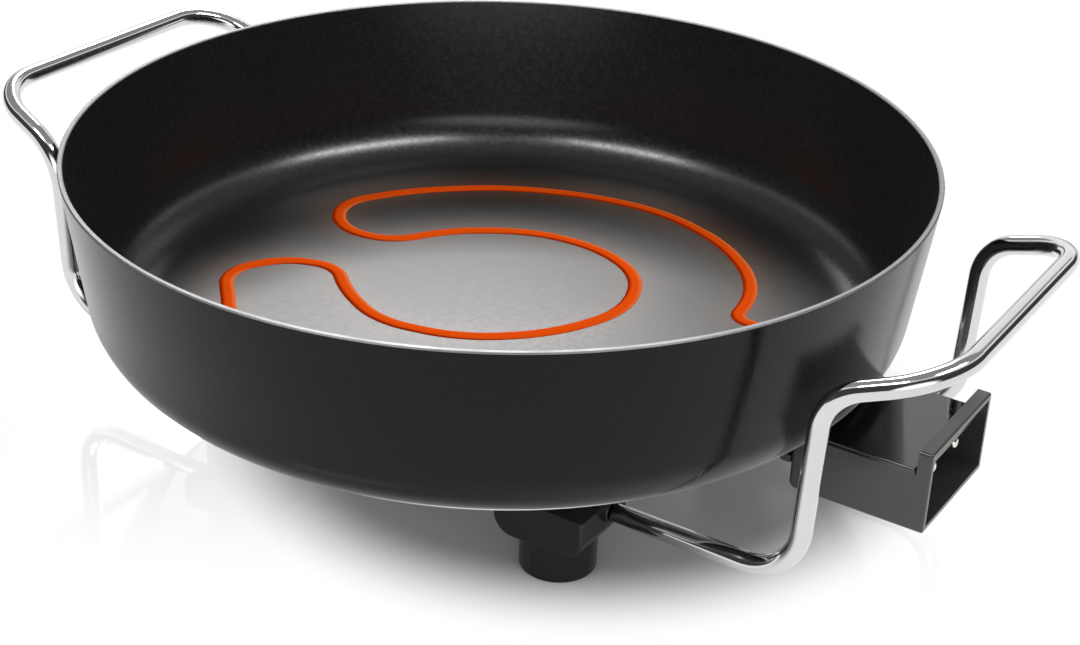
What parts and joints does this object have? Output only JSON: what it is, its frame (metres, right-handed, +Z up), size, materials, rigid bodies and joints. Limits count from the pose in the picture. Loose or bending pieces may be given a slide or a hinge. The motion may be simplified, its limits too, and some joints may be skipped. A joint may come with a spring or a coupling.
{
  "type": "electric skillet",
  "caption": "Round, deep electric frying pan on short round feet, with a bent-rod loop handle on each side and an open inlet for a plug-in thermostat.",
  "frame": {"origin": "on the floor, under the centre of the pan and of the outline", "axes": "+X from the pan's centre towards the thermostat inlet, along both handles; +Y across; +Z up"},
  "size_m": [0.4602, 0.3598, 0.1328],
  "materials": {
    "pan_coat": "matte dark hard coat, bare at the lip",
    "base_metal": "turned, bare at its lower edge",
    "element_tube": "heated tube, orange",
    "element_powder": "packed mineral powder",
    "resistance_wire": "drawn wire",
    "contact_metal": "bright plated",
    "seal": "silicone bead",
    "carrier": "mineral-filled moulding",
    "inlet_black": "black moulding, satin",
    "cover_black": "black moulding, glossy",
    "screw_steel": "zinc plated",
    "foot_black": "black moulding, half gloss",
    "pad_rubber": "soft rubber",
    "rod_chrome": "polished chrome plate"
  },
  "bodies": {
    "root": {"base_plate": "base_metal", "contact_pin_front": "contact_metal", "contact_pin_rear": "contact_metal", "cover_screws": "screw_steel", "earth_rivet": "contact_metal", "earth_strip": "contact_metal", "element_filling": "element_powder", "element_sheath": "element_tube", "element_wire": "resistance_wire", "end_seals": "seal", "foot_bosses": "screw_steel", "foot_bracket_front_left": "foot_black", "foot_bracket_front_right": "foot_black", "foot_bracket_rear_left": "foot_black", "foot_bracket_rear_right": "foot_black", "foot_leg_front_left": "foot_black", "foot_leg_front_right": "foot_black", "foot_leg_rear_left": "foot_black", "foot_leg_rear_right": "foot_black", "foot_pad_front_left": "pad_rubber", "foot_pad_front_right": "pad_rubber", "foot_pad_rear_left": "pad_rubber", "foot_pad_rear_right": "pad_rubber", "foot_screws": "screw_steel", "foot_washers": "screw_steel", "handle_left": "rod_chrome", "handle_right": "rod_chrome", "inlet_cover": "cover_black", "inlet_housing": "inlet_black", "inlet_screws": "screw_steel", "pan_body": "pan_coat", "pin_carrier": "carrier", "probe_sleeve": "contact_metal", "rod_ferrules": "foot_black", "rod_set_screws": "screw_steel"}
  },
  "joints": []
}
